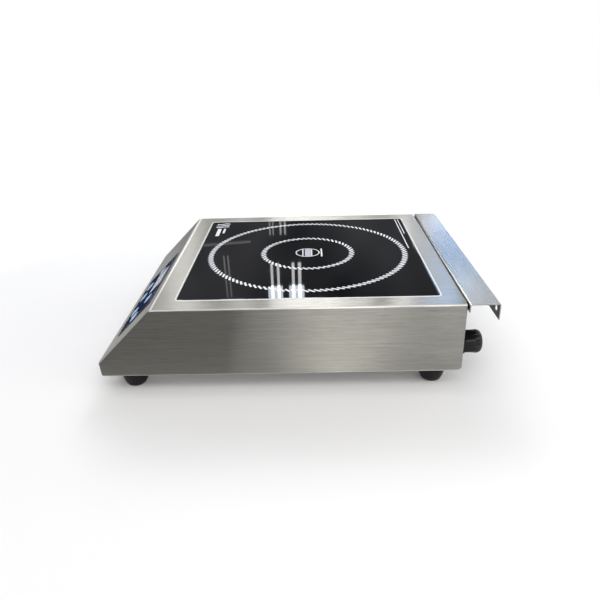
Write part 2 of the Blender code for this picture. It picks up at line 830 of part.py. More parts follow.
def power_parts():
    top = BOARD_Z + BOARD_THICK + GAP
    heatsink_right = 0.058
    package_x = heatsink_right + GAP + 0.0026
    legged_package("igbt", (0.016, 0.005, 0.020), 3, (package_x, -0.035, top + 0.0005))
    legged_package("bridge_rectifier", (0.030, 0.005, 0.020), 4, (package_x, 0.005, top + 0.0005))
    for name in ("igbt", "bridge_rectifier"):
        bpy.data.objects[name].rotation_euler.z = math.pi / 2

    for name, size, place in (
        ("resonant_capacitor", (0.042, 0.020, 0.032), (0.105, -0.010)),
        ("filter_capacitor", (0.042, 0.022, 0.030), (0.105, 0.025)),
    ):
        box = block(name, size)
        round_edges(box, 0.0015, 2)
        finish(settle(box), "capacitor", (*place, top + size[2] / 2))

    terminal = block("terminal_block", (0.036, 0.018, 0.016))
    wells = []
    for index in (-1, 0, 1):
        wells.append(rod("terminal_well", 0.0035, 0.002, 0.012, (index * 0.011, 0.002), 8))
        entry = (0.006, 0.006, 0.006)
        wells.append(block("terminal_entry", entry, (index * 0.011, 0.0085, -0.003)))
    place = (0.125, 0.080, top + 0.008)
    finish(carve(terminal, *wells), "terminal_green", place)


# Cord gland in the rear wall


def gland():
    """Hollow gland: hex collar and threaded body, locknut inside, seal and domed nut outside."""
    axis = (GLAND_X, GLAND_Z)
    collar_start = BODY_REAR_Y + GAP
    collar_end = collar_start + GLAND_COLLAR
    neck_end = GLAND_END_Y - 0.011
    inner_end = BODY_REAR_Y - 0.011
    hexagon = 0.0156
    body = rod("gland_body", hexagon, collar_start, collar_end, axis, 6, "Y")
    thread = rod("gland_thread", GLAND_THREAD, inner_end, neck_end, axis, ROUND, "Y")
    body = fuse(body, thread)
    bore = rod("gland_bore", GLAND_BORE, inner_end - 0.001, neck_end + 0.001, axis, ROUND, "Y")
    finish(carve(body, bore), "black_plastic")

    nut_end = BODY_REAR_Y - SHEET - GAP
    nut = rod("gland_locknut", 0.0136, nut_end - 0.0045, nut_end, axis, 6, "Y")
    bore = rod("locknut_bore", GLAND_THREAD + GAP, 0.160, 0.180, axis, ROUND, "Y")
    finish(carve(nut, bore), "black_plastic")

    length = GLAND_END_Y - collar_end - GAP
    inside = neck_end + GAP - collar_end
    opening = 0.0052
    dome = arc((GLAND_NUT_RADIUS - 0.005, length - 0.005), 0.005, 75, 0, 3)
    profile = [
        (opening, length),
        *dome,
        (GLAND_NUT_RADIUS, 0),
        (GLAND_THREAD + GAP, 0),
        (GLAND_THREAD + GAP, inside),
        (GLAND_THREAD + GAP, inside + 0.006),
        (opening, inside + 0.0085),
    ]
    nut = turned("gland_dome_nut", profile, ROUND)
    nut.data.transform(Matrix.Rotation(-math.pi / 2, 4, "X"))
    finish(nut, "black_plastic", (GLAND_X, collar_end + GAP, GLAND_Z))

    seal_low = neck_end + GAP
    seal = [
        (0.0042, 0.0055),
        (GLAND_THREAD - 0.0006, 0.0055),
        (GLAND_THREAD - 0.0006, 0),
        (0.0042, 0),
    ]
    insert = turned("gland_seal", seal, 16)
    insert.data.transform(Matrix.Rotation(-math.pi / 2, 4, "X"))
    finish(insert, "rubber", (GLAND_X, seal_low, GLAND_Z))


# Key panel on the slope


def panel_frame():
    """An empty on the upper bend: its X runs across, its Y up the slope and its Z outward."""
    panel = bpy.data.objects.new("panel_frame", None)
    PARTS.objects.link(panel)
    panel.location = (0, SLOPE_TOP_Y, TOP_Z)
    panel.rotation_euler.x = math.pi / 4
    bpy.context.view_layer.update()
    return panel


def membrane_overlay(panel):
    centre = (OVERLAY_CENTRE[0], -OVERLAY_CENTRE[1])
    outline = rounded_rectangle(centre, OVERLAY_SIZE, 0.003)
    window_centre = (WINDOW_CENTRE[0], -WINDOW_CENTRE[1])
    window = rounded_rectangle(window_centre, WINDOW_SIZE, 0.0015, 2)
    holes = [window]
    opening = [side + 2 * KEY_CLEARANCE for side in KEY_SIZE]
    for x, s in KEYS.values():
        holes.append(rounded_rectangle((x, -s), opening, 0.002 + KEY_CLEARANCE, 2))
    overlay = plate("membrane_overlay", outline, OVERLAY_THICK, holes)
    finish(overlay, "overlay", (0, 0, GAP + OVERLAY_THICK / 2), panel)

    size = [side - 2 * GAP for side in WINDOW_SIZE]
    lens = plate("display_window", rounded_rectangle((0, 0), size, 0.0012, 2), OVERLAY_THICK)
    finish(lens, "window", (*window_centre, GAP + OVERLAY_THICK / 2), panel)

    module = (0.050, 0.015, 0.0070)
    face = CONTROL_BOARD_FACE + GAP + module[2] / 2
    display = block("led_display", module)
    finish(display, "black_part", (*window_centre, face), panel)


def keys(panel):
    """Sprung key pads, each with a stem through the sheet towards its switch."""
    for name, (x, s) in KEYS.items():
        pad = plate("key_" + name, rounded_rectangle((0, 0), KEY_SIZE, 0.002), KEY_THICK)
        pad.location.z = OVERLAY_FACE + KEY_THICK / 2
        stem = rod("stem", KEY_STEM, KEY_STEM_END, OVERLAY_FACE + KEY_THICK / 2, steps=8)
        key = fuse(pad, stem)
        key.data.transform(key.matrix_world)
        key.matrix_world = Matrix.Identity(4)
        finish(key, "key_pad", (x, -s, 0), panel)

        body = 0.0035
        low = CONTROL_BOARD_FACE + GAP
        switch = block_between(
            "switch_" + name, (-0.003, -0.003, low), (0.003, 0.003, low + body)
        )
        plunger = rod("plunger", 0.0016, low + body / 2, low + body + 0.0007, steps=8)
        finish(fuse(switch, plunger), "black_part", (x, -s, 0), panel)


def control_board(panel):
    centre = (OVERLAY_CENTRE[0], -OVERLAY_CENTRE[1])
    board = block("control_board", (*CONTROL_BOARD_SIZE, BOARD_THICK))
    finish(board, "circuit_board", (*centre, CONTROL_BOARD_FACE - BOARD_THICK / 2), panel)
    low = CONTROL_BOARD_FACE + GAP
    high = -SHEET - GAP
    reach = CONTROL_BOARD_SIZE[0] / 2 - 0.002
    for side, word in ((-1, "left"), (1, "right")):
        rail = block("panel_rail_" + word, (0.004, CONTROL_BOARD_SIZE[1], high - low))
        finish(rail, "plain_steel", (centre[0] + side * reach, centre[1], (low + high) / 2), panel)


def build():
    panel = panel_frame()
    housing_shell(panel)
    base_plate()
    rear_panel()
    rear_guard()
    guard_fixings()
    feet()
    glass_top()
    glass_support_frame()
    coil_carrier()
    induction_coil()
    coil_extras()
    fan_frame()
    fan_rotor()
    board_tray()
    heatsink()
    power_parts()
    gland()
    membrane_overlay(panel)
    keys(panel)
    control_board(panel)


build()
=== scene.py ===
"""Countertop induction cooker: finishes, printed marks, small fittings, light and camera."""

import math

import bmesh
import bpy
import numpy as np
from mathutils import Matrix, Vector

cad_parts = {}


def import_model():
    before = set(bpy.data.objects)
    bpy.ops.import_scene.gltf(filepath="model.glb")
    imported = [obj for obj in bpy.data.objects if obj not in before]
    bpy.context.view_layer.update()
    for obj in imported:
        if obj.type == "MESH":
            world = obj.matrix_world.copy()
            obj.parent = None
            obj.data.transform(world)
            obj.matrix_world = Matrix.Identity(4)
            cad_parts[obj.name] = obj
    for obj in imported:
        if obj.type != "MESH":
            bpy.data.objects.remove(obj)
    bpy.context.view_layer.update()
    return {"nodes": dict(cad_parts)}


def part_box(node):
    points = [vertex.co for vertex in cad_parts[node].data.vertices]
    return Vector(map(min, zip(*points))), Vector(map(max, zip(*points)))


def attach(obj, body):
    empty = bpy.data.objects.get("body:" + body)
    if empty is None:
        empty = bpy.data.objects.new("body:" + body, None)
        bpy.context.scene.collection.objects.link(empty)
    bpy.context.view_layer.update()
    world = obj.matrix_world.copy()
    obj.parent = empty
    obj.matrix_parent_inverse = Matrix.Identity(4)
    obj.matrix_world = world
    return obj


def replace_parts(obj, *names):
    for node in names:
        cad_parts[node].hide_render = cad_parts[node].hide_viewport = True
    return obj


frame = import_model()

SLANT = math.sqrt(0.5)  # the key panel lies at 45 degrees
ROUND = 96
CREASE = 33  # degrees: flatter creases between CAD faces are shaded smooth
WELD = 0.000002

# Ink, in metres: its thickness and the air under it
PRINT = 0.00005
LIFT = 0.00002

# Glass print. A ring has an inner and an outer radius and a number of strokes
RINGS = {"outer": (0.1192, 0.1252, 118), "inner": (0.0531, 0.0588, 54)}
STROKE_SLANT = 1.2  # how far a stroke runs round the ring for its reach across it
STROKE_WIDTH = 0.0025
ICON_RADIUS = 0.0146
ICON_LINE = 0.0014
# Level lines of the pan sign: half length or ends, height and width
ICON_LEVELS = [((-0.0146, 0.0146), 0.0052, 0.0013), ((-0.0146, 0.0146), -0.0060, 0.0014)]
ICON_BAR = ((-0.0140, 0.0152), 0.0176, 0.0019)
PAN_BODY = ((-0.0142, 0.0142), 0.0004, 0.0076)
# Rules along the glass's rear edge: far end, distance from the edge and width
RULE_START = 0.004
RULES = [(0.072, 0.0052, 0.0011), (0.132, 0.0092, 0.0013)]
# The heat sign in the glass's front corner
CORNER_INSET = (0.0065, 0.0080)
WAVES = (3, 0.004, 0.0075)  # count, start and pitch
WAVE_SWING = 0.0017
WAVE_LENGTH = 0.018
WAVE_WIDTH = 0.0026
WAVE_STEPS = 12
CORNER_BARS = [((0.0270, 0.0600), 0.0060, 0.0050), ((0.0270, 0.0480), 0.0135, 0.0028)]

# Key pads
KEY_LENGTH = 0.010
KEY_THICK = 0.0008
SYMBOL = 0.0026
SYMBOL_LINE = 0.0005
SIGN_LINE = 0.0007
HAND_LINE = 0.0004

# Key panel: how far its face stands out from the middle of its box, and its print
FACE_RISE = 0.00025
DIGITS = (4, -0.0215, 0.0122)  # count, start and pitch
DIGIT_BASE = -0.0058
DIGIT_SIZE = (0.0064, 0.0116)
SEGMENT = 0.0011
SEGMENT_GAP = 0.0004
BORDER_INSET = (0.0012, 0.0018)

# Feet: profiles as (radius, height), below the shoulder
FOOT_BOSS = 0.0127
FOOT_BORE = 0.0025
FOOT_SHOULDER = 0.0007
FOOT_SHOULDER_DROP = 0.0014
FOOT_TOP_GAP = 0.0002
FOOT_GROOVE = [(0.0, 0.0178), (-0.0004, 0.0174), (-0.0003, 0.0168)]  # radius from the widest
FOOT_BOWL = [(0.0145, 0.0130), (0.0137, 0.0090), (0.0126, 0.0052), (0.0115, 0.0027), (0.0104, 0.0010)]
FOOT_SOLE = [(0.0095, 0.0003), (0.0088, 0.0), (0.0060, 0.0), (0.0055, 0.0005), (0.0055, 0.0080)]

# Screws. A head's rings are shares of its radius and of its height
SCREW_HEAD = [(1.0, 0), (1.0, 0.25), (0.93, 0.6), (0.7, 0.9), (0.42, 1.0)]
SCREW_HEAD_HEIGHT = 0.55
SCREW_STEPS = 32
RECESS = (0.10, 0.26)  # the cross recess: its core, and how much further its spokes reach
PANEL_SCREW = 0.0030
PANEL_SCREW_INSET = (0.0085, 0.0060, 0.0085)  # sideways, below and above
BASE_SCREW = 0.0024
BASE_SCREW_INSET = 0.0058
BASE_SCREW_Y = (-0.125, -0.005, 0.100)

# Clamping nut: share of the radius, share of the length, how hexagonal
NUT_PROFILE = [
    (0.97, 0.00, 1.0), (1.0, 0.04, 1.0), (1.0, 0.45, 1.0), (0.985, 0.52, 0.6), (0.97, 0.60, 0.25),
    (0.955, 0.70, 0.0), (0.92, 0.80, 0.0), (0.85, 0.90, 0.0), (0.74, 0.97, 0.0), (0.62, 1.0, 0.0),
    (0.46, 1.0, 0.0), (0.43, 0.985, 0.0), (0.43, 0.80, 0.0), (0.69, 0.76, 0.0), (0.69, 0.0, 0.0),
]
NUT_STEPS = 144
NUT_FLAT = 0.895  # distance of a flat from the axis, against the corner
FLUTES = (12, 0.07)  # count and depth

# Steel
STEEL = (0.27, 0.267, 0.248)
# Painted highlight colour for bends and the ridge line
PAINTED_HIGHLIGHT = (0.62, 0.61, 0.585)
# Painted shade colour for the inside of the guard's rear flange
SHADED = (0.006, 0.006, 0.007)
SCRATCHES = (2600.0, 60.0)  # features per metre across and along the brushing
BANDS = (1150.0, 16.0)
HIGHLIGHT_LINE_REACH = (0.0008, 0.0020)  # half width of the painted highlight line, full and faded
REAR_FLANGE = 0.004  # depth of the guard's rear flange, from its rear face

# Lights: azimuths and elevations in degrees, distance, radiance, colour
COOL = (0.42, 0.62, 1.0)
WARM = (1.0, 0.97, 0.90)
SOFTBOXES = [
    ("front_high", (130, 230), (42, 66), 2.2, 1.9),
    ("behind_wide", (-55, 50), (34, 58), 1.9, 1.1),
    ("behind_middle", (-6, 5.4), (28, 46), 2.2, 10.0),
    ("behind_middle_right", (5.4, 10.5), (28, 46), 2.2, 6.0),
    ("behind_left_near", (-13, -9), (28, 46), 2.2, 5.6),
    ("behind_left", (-21.1, -18.2), (28, 46), 2.2, 12.5),
    ("behind_left_far", (-28, -23.4), (28, 46), 2.2, 3.0),
    ("edge_left", (-27, -16.5), (0.5, 8), 2.2, 5.0),
    ("behind_right_high", (14.3, 16.2), (28, 46), 2.2, 14.0),
    ("behind_right_blue", (19.4, 21.9), (30, 46), 2.2, 10.5, COOL),
    ("behind_right_low", (14.8, 18.0), (11, 18.5), 2.2, 3.4, (1.0, 0.95, 0.86)),
    ("behind_right", (19.0, 21.4), (9, 26), 2.2, 8.6, COOL),
    ("behind_far_right", (22.2, 42), (12, 28), 2.2, 0.6, (0.5, 0.68, 1.0)),
    ("side_rear", (46, 80), (4, 30), 2.2, 1.4),
    ("side_front", (-84, -56), (4, 30), 2.2, 0.9),
    ("rear_low", (86, 116), (3, 28), 2.2, 1.8),
    ("front_low", (-116, -88), (3, 28), 2.2, 0.5),
    ("front_middle", (168.5, 181), (2, 26), 1.8, 5.0, WARM),
    ("front_rear", (161.9, 163.7), (2, 30), 1.8, 8.5, WARM),
    ("front_right", (110, 157.5), (4, 40), 1.8, 1.9, WARM),
    ("glow_left", (-5.4, -3.3), (24.0, 27), 2.25, 4.6, (0.80, 0.90, 1.0)),
    ("glow_right", (-2.4, -0.2), (24.0, 27), 2.25, 4.6, (0.80, 0.90, 1.0)),
    ("streak_left_1", (-11.3, -11.1), (19.6, 25), 2.3, 0.6),
    ("streak_left_2", (-10.75, -10.55), (19.6, 25), 2.3, 0.6),
    ("streak_far_1", (-3.4, -3.15), (15.4, 17.3), 2.3, 1.2),
    ("streak_far_2", (-2.8, -2.55), (15.4, 17.3), 2.3, 1.2),
    ("streak_far_3", (-4.8, -4.62), (15.4, 17.3), 2.3, 1.0),
    ("streak_far_4", (-4.35, -4.2), (15.4, 17.3), 2.3, 1.0),
    ("streak_band", (-14, -7.4), (17.9, 18.2), 2.3, 0.35),
]
# Ceiling tubes mirrored in the glass: bright overhead, dimmer further off
TUBES = [(-4.95, -4.6), (-4.05, -3.7), (-1.95, -1.55), (-1.05, -0.6)]
TUBE_PARTS = [("near", (23.9, 27), 9.0), ("far", (21.0, 23.9), 3.0)]
# Cards on the floor that only metal mirrors: corners and brightness
CARDS = {
    "card_dim": ([(0.20, -0.078), (0.45, -0.058), (1.2, -0.21), (1.2, -1.2), (0.20, -0.7)], 0.27),
    "card_bright": ([(0.172, 0.045), (0.23, -0.035), (0.27, 0.03), (0.23, 0.12)], 1.7),
    "card_front": ([(-0.6, -0.6), (0.12, -0.6), (0.12, -0.19), (-0.6, -0.19)], 1.35),
}
CARD_COLOUR = (1, 0.985, 0.94, 1)
CARD_HEIGHT = 0.0003
# The room's brightness against the sine of the elevation
ROOM = [(0.0, 0.26), (0.10, 0.18), (0.25, 0.11), (0.45, 0.13), (0.75, 0.4), (1.0, 0.5)]
ROOM_SHAPES = [("From Min", 0.35), ("From Max", 0.65), ("To Min", 0.35), ("To Max", 1.65)]
GLASS_MIDDLE = Vector((0, 0, 0.0987))
OVERHEAD_PLACE = (-0.05, 0.0, 2.3)
OVERHEAD_SIZE = (0.20, 2.0)
OVERHEAD_RADIANCE = 3.0
FLOOR_RADIUS = 3.0

# Camera: place, axes and lens
EYE = (0.69835, 0.01587, 0.34919)
EYE_RIGHT = (-0.00649458, 0.99970092, -0.02357735)
EYE_UP = (-0.41311323, 0.01878946, 0.91048581)
EYE_BACK = (0.91065651, 0.01565333, 0.41286764)
LENS = 34.85
SENSOR = 36.0


# Meshes


def place(obj, material, body):
    """Gives a new piece its finish and its moving body."""
    obj.data.materials.clear()
    obj.data.materials.append(material)
    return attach(obj, body)


def from_bmesh(name, bm):
    bmesh.ops.recalc_face_normals(bm, faces=bm.faces)
    mesh = bpy.data.meshes.new(name)
    bm.to_mesh(mesh)
    bm.free()
    obj = bpy.data.objects.new(name, mesh)
    bpy.context.collection.objects.link(obj)
    return obj


def smooth(obj, angle=35):
    for polygon in obj.data.polygons:
        polygon.use_smooth = True
    obj.data.set_sharp_from_angle(angle=math.radians(angle))
    return obj


def arc(centre, radius, start, end, steps):
    """Points of an arc, angles in degrees."""
    points = []
    for step in range(steps + 1):
        angle = math.radians(start + (end - start) * step / steps)
        x = centre[0] + radius * math.cos(angle)
        points.append((x, centre[1] + radius * math.sin(angle)))
    return points


def offset_sides(points, width, closed):
    """The two edges of a ribbon of this width along a line of points."""
    count = len(points)
    left, right = [], []
    for index, point in enumerate(points):
        before = points[index - 1] if index or closed else point
        after = points[(index + 1) % count] if index + 1 < count or closed else point
        here = Vector(point)
        first = (here - Vector(before)).normalized()
        second = (Vector(after) - here).normalized()
        along = (first + second).normalized()
        across = Vector((-along.y, along.x))
        spread = max((first if first.length else second).dot(along), 0.4)
        left.append(here + across * width / 2 / spread)
        right.append(here - across * width / 2 / spread)
    return left, right


def ribbon(bm, matrix, points, width, closed=False):
    """A thin closed strip of ink along a line of points."""
    sides = offset_sides(points, width, closed)
    rows = []
    for left, right in zip(*sides):
        corners = [(left, LIFT), (left, LIFT + PRINT), (right, LIFT + PRINT), (right, LIFT)]
        rows.append([bm.verts.new(matrix @ Vector((*p, z))) for p, z in corners])
    spans = list(zip(rows, rows[1:]))
    if closed:
        spans.append((rows[-1], rows[0]))
    for near, far in spans:
        for i in range(4):
            j = (i + 1) % 4
            bm.faces.new((near[i], near[j], far[j], far[i]))
    if not closed:
        bm.faces.new(rows[0])
        bm.faces.new(rows[-1])


def printed(name, matrix, ribbons, material, body):
    bm = bmesh.new()
    for line in ribbons:
        ribbon(bm, matrix, *line)
    return place(from_bmesh(name, bm), material, body)


def turned(name, profile, axis, steps=ROUND):
    """A closed turned solid. The profile is a closed loop of (radius, height)."""
    bm = bmesh.new()
    rows = []
    for step in range(steps):
        angle = 2 * math.pi * step / steps
        rows.append([bm.verts.new((r * math.cos(angle), r * math.sin(angle), h)) for r, h in profile])
    count = len(profile)
    for step in range(steps):
        near, far = rows[step], rows[(step + 1) % steps]
        for i in range(count):
            j = (i + 1) % count
            bm.faces.new((near[i], near[j], far[j], far[i]))
    bmesh.ops.transform(bm, matrix=axis, verts=bm.verts)
    return smooth(from_bmesh(name, bm))


# Node helpers


class Finish:
    """A material built from nodes round one Principled shader."""

    def __init__(self, name, **values):
        self.material = bpy.data.materials.new(name)
        self.material.use_nodes = True
        self.tree = self.material.node_tree
        self.shader = self.tree.nodes["Principled BSDF"]
        for socket, value in values.items():
            self.shader.inputs[socket.replace("_", " ")].default_value = value
        self.coordinates = self.add("ShaderNodeTexCoord").outputs["Object"]

    def add(self, kind, inputs=None, **settings):
        node = self.tree.nodes.new(kind)
        for key, value in settings.items():
            setattr(node, key, value)
        for key, value in (inputs or {}).items():
            if isinstance(value, bpy.types.NodeSocket):
                self.tree.links.new(value, node.inputs[key])
            else:
                node.inputs[key].default_value = value
        return node

    def noise(self, scale, detail=2.0, roughness=0.5):
        """Noise whose scale may differ along each axis, in features per metre."""
        stretch = scale if isinstance(scale, tuple) else (scale,) * 3
        mapped = self.add("ShaderNodeMapping", {"Vector": self.coordinates, "Scale": stretch})
        inputs = {"Vector": mapped.outputs[0], "Scale": 1.0, "Detail": detail, "Roughness": roughness}
        return self.add("ShaderNodeTexNoise", inputs).outputs["Fac"]

    def spread(self, value, low, high, start=0.3, end=0.7):
        inputs = {"Value": value, "From Min": start, "From Max": end, "To Min": low, "To Max": high}
        return self.add("ShaderNodeMapRange", inputs).outputs["Result"]

    def blend(self, factor, first, second):
        node = self.add("ShaderNodeMix", {0: factor}, data_type="RGBA")
        for index, value in ((6, first), (7, second)):
            if isinstance(value, bpy.types.NodeSocket):
                self.tree.links.new(value, node.inputs[index])
            else:
                node.inputs[index].default_value = (*value, 1)
        return node.outputs[2]

    def total(self, first, second, operation="ADD"):
        return self.add("ShaderNodeMath", {0: first, 1: second}, operation=operation).outputs[0]

    def wire(self, socket, value):
        self.tree.links.new(value, self.shader.inputs[socket])
        return self

    def bump(self, height, strength, distance):
        inputs = {"Height": height, "Strength": strength, "Distance": distance}
        return self.wire("Normal", self.add("ShaderNodeBump", inputs).outputs[0])


# Finishes


def stretched(scales, grain):
    """Noise scales for the three axes, with the second value along the grain."""
    scale = [scales[0]] * 3
    scale[grain] = scales[1]
    return tuple(scale)


def painted_bend_highlight(finish, facing):
    """Painted highlight on bends: marks normals between level and upright, but not those of the 45 degree
    slope.
    """
    level = finish.total(facing["Z"], facing["Z"], "MULTIPLY")
    upright = finish.total(1.0, level, "SUBTRACT")
    bend = finish.total(finish.total(level, upright, "MULTIPLY"), 4.0, "MULTIPLY")
    slope = finish.total(finish.total(facing["Y"], SLANT), 0.0, "COMPARE")
    slope.node.inputs[2].default_value = 0.04
    bend = finish.total(bend, finish.total(1.0, slope, "SUBTRACT"), "MULTIPLY")
    return finish.total(bend, 1.5, "MULTIPLY")


def brushed_steel(name, grain, rough=(0.25, 0.36), inside=None, highlight_ridge=None):
    """Sheet steel brushed along one axis: 0 across the cooker, 1 from front to rear.

    Faces that look forwards behind y = inside get painted shade, dark and not metallic. Bends get a painted
    highlight, and a narrow painted highlight line runs along the ridge.
    """
    finish = Finish(name, Metallic=1.0, Anisotropic=1.0)
    scratch = finish.noise(stretched(SCRATCHES, grain), 3.0, 0.6)
    band = finish.noise(stretched(BANDS, grain), 3.0, 0.55)
    cloud = finish.noise(9.0, 4.0, 0.6)
    grainy = finish.total(scratch, band, "MULTIPLY")
    dark = tuple(0.80 * c for c in STEEL)
    light = tuple(1.15 * c for c in STEEL)
    colour = finish.blend(finish.spread(grainy, 0.0, 1.0, 0.14, 0.38), dark, light)
    warm = (light[0] * 0.97, light[1] * 0.95, light[2] * 0.92)
    colour = finish.blend(finish.spread(cloud, 0.0, 0.45, 0.35, 0.75), colour, warm)
    normal = finish.add("ShaderNodeTexCoord").outputs["Normal"]
    facing = finish.add("ShaderNodeSeparateXYZ", {0: normal}).outputs
    # Painted highlight: bends are coloured bright
    colour = finish.blend(painted_bend_highlight(finish, facing), colour, PAINTED_HIGHLIGHT)
    y = finish.add("ShaderNodeSeparateXYZ", {0: finish.coordinates}).outputs["Y"]
    # Painted highlight: a narrow bright line on upward faces along the ridge
    if highlight_ridge is not None:
        reach = finish.total(finish.total(y, highlight_ridge, "SUBTRACT"), 0.0, "ABSOLUTE")
        line = finish.total(finish.spread(reach, 1.0, 0.0, *HIGHLIGHT_LINE_REACH), facing["Z"], "MULTIPLY")
        colour = finish.blend(line, colour, PAINTED_HIGHLIGHT)
    # Painted shade: forward-facing faces inside the guard's rear flange turn dark and not metallic
    if inside is not None:
        forwards = finish.total(facing["Y"], -0.5, "LESS_THAN")
        behind = finish.total(y, inside, "GREATER_THAN")
        painted_shade_mask = finish.total(forwards, behind, "MULTIPLY")
        colour = finish.blend(painted_shade_mask, colour, SHADED)
        finish.wire("Metallic", finish.total(1.0, painted_shade_mask, "SUBTRACT"))
    finish.wire("Base Color", colour)
    mixed = finish.total(scratch, finish.total(cloud, 0.6, "MULTIPLY"))
    finish.wire("Roughness", finish.spread(mixed, rough[0], rough[1], 0.45, 1.1))
    along = (0.05, 1.0, 0.03) if grain == 1 else (1.0, 0.05, 0.03)
    cross = finish.add("ShaderNodeVectorMath", {0: normal, 1: along}, operation="CROSS_PRODUCT")
    finish.wire("Tangent", cross.outputs[0])
    return finish.bump(grainy, 0.14, 0.0002).material


def plain_steel():
    finish = Finish("zinc_steel", Metallic=1.0)
    cloud = finish.noise(60.0, 5.0, 0.6)
    spangle = finish.noise(350.0, 1.0)
    mixed = finish.total(cloud, spangle, "MULTIPLY")
    mask = finish.spread(mixed, 0, 1, 0.15, 0.4)
    finish.wire("Base Color", finish.blend(mask, (0.42, 0.43, 0.44), (0.62, 0.63, 0.64)))
    finish.wire("Roughness", finish.spread(cloud, 0.28, 0.46))
    return finish.bump(spangle, 0.05, 0.0002).material


def black_glass():
    finish = Finish("glass_black", IOR=1.52)
    smear = finish.noise((14.0, 9.0, 9.0), 5.0, 0.62)
    dust = finish.noise(900.0, 2.0, 0.7)
    mask = finish.spread(dust, 0, 1, 0.62, 0.8)
    finish.wire("Base Color", finish.blend(mask, (0.002, 0.0025, 0.004), (0.008, 0.0085, 0.010)))
    finish.wire("Roughness", finish.spread(smear, 0.015, 0.05, 0.4, 0.75))
    return finish.bump(finish.noise(5.0, 1.0), 0.02, 0.001).material


def sealant():
    finish = Finish("sealant_pale", IOR=1.45)
    tone = finish.noise(60.0, 4.0, 0.6)
    mask = finish.spread(tone, 0, 1)
    finish.wire("Base Color", finish.blend(mask, (0.76, 0.76, 0.73), (0.90, 0.90, 0.88)))
    finish.wire("Roughness", finish.spread(tone, 0.3, 0.5))
    return finish.bump(finish.noise(400.0, 3.0), 0.25, 0.0003).material


def moulded(name, dark, light, rough, grain=1400.0, strength=0.08, gloss=0.3):
    """Moulded plastic or rubber with a fine surface texture."""
    finish = Finish(name, IOR=1.5, Specular_IOR_Level=gloss)
    skin = finish.noise(grain, 2.0, 0.6)
    wear = finish.noise(70.0, 4.0, 0.6)
    finish.wire("Base Color", finish.blend(finish.spread(wear, 0, 1), dark, light))
    finish.wire("Roughness", finish.spread(wear, rough[0], rough[1]))
    return finish.bump(skin, strength, 0.0002).material


def film(name, dark, light, rough=(0.18, 0.34), gloss=0.2):
    """Printed plastic film, with fine speckle."""
    finish = Finish(name, IOR=1.5, Specular_IOR_Level=gloss)
    fleck = finish.noise(1500.0, 2.0, 0.7)
    cloud = finish.noise(40.0, 3.0)
    mixed = finish.total(fleck, finish.total(cloud, 0.5, "MULTIPLY"))
    finish.wire("Base Color", finish.blend(finish.spread(mixed, 0, 1, 0.5, 1.0), dark, light))
    finish.wire("Roughness", finish.spread(cloud, *rough))
    return finish.bump(fleck, 0.05, 0.0001).material


def ink(name, dark, light, rough=0.45):
    finish = Finish(name, Roughness=rough, IOR=1.45)
    wear = finish.noise(600.0, 3.0, 0.7)
    finish.wire("Base Color", finish.blend(finish.spread(wear, 0, 1), dark, light))
    return finish.bump(wear, 0.05, 0.0001).material


def metal(name, dark, light, rough, scale=300.0):
    finish = Finish(name, Metallic=1.0)
    grain = finish.noise(scale, 3.0, 0.6)
    finish.wire("Base Color", finish.blend(finish.spread(grain, 0, 1), dark, light))
    finish.wire("Roughness", finish.spread(grain, *rough))
    return finish.bump(grain, 0.08, 0.0002).material


def copper_winding():
    """Stranded copper wire wound in a flat spiral round the middle of the coil."""
    finish = Finish("copper_winding", Metallic=1.0)
    low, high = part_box("induction_coil")
    middle = (low + high) / 2
    shift = {"Vector": finish.coordinates, "Location": -middle}
    moved = finish.add("ShaderNodeMapping", shift).outputs[0]
    turns = {"Vector": moved, "Scale": 55.0}
    rings = finish.add("ShaderNodeTexWave", turns, wave_type="RINGS", rings_direction="Z")
    strand = finish.noise(900.0, 2.0)
    height = finish.total(rings.outputs["Fac"], finish.total(strand, 0.3, "MULTIPLY"))
    mask = finish.spread(height, 0, 1, 0.1, 1.1)
    finish.wire("Base Color", finish.blend(mask, (0.30, 0.11, 0.05), (0.85, 0.42, 0.24)))
    finish.wire("Roughness", finish.spread(strand, 0.25, 0.42))
    return finish.bump(height, 0.5, 0.0008).material


def steel_finishes():
    """Steel for the body, and for the guard that is brushed the other way."""
    shell = frame["nodes"]["housing_shell"].data.vertices
    roof = max(v.co.z for v in shell)
    # The top's front edge, where the painted highlight line goes
    highlight_ridge = min(v.co.y for v in shell if v.co.z > roof - 0.0001)
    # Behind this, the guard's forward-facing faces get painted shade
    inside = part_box("rear_guard")[1].y - REAR_FLANGE
    lengthwise = brushed_steel("steel_brushed_lengthwise", 1, highlight_ridge=highlight_ridge)
    crosswise = brushed_steel("steel_brushed_crosswise", 0, rough=(0.19, 0.28), inside=inside)
    return lengthwise, crosswise


# Moulded parts and films: name, dark tone, light tone, roughness, then what differs from the usual
MOULDED = {
    "rubber": ("rubber_black", (0.004, 0.004, 0.004), (0.010, 0.010, 0.011), (0.35, 0.5), 900.0, 0.15, 0.22),
    "black_plastic": (
        "nylon_black", (0.002, 0.0022, 0.003), (0.004, 0.005, 0.007), (0.16, 0.28), 1400.0, 0.08, 0.32,
    ),
    "black_part": ("part_black", (0.012, 0.012, 0.013), (0.03, 0.03, 0.032), (0.35, 0.5)),
    "ferrite": ("ferrite_grey", (0.035, 0.035, 0.038), (0.07, 0.07, 0.072), (0.5, 0.7), 1200.0, 0.2),
    "cream_plastic": ("plastic_cream", (0.62, 0.57, 0.46), (0.74, 0.70, 0.60), (0.35, 0.5)),
    "capacitor": ("capacitor_yellow", (0.52, 0.36, 0.05), (0.66, 0.48, 0.09), (0.3, 0.45)),
    "terminal_green": ("terminal_green", (0.03, 0.22, 0.10), (0.06, 0.32, 0.16), (0.35, 0.5)),
}
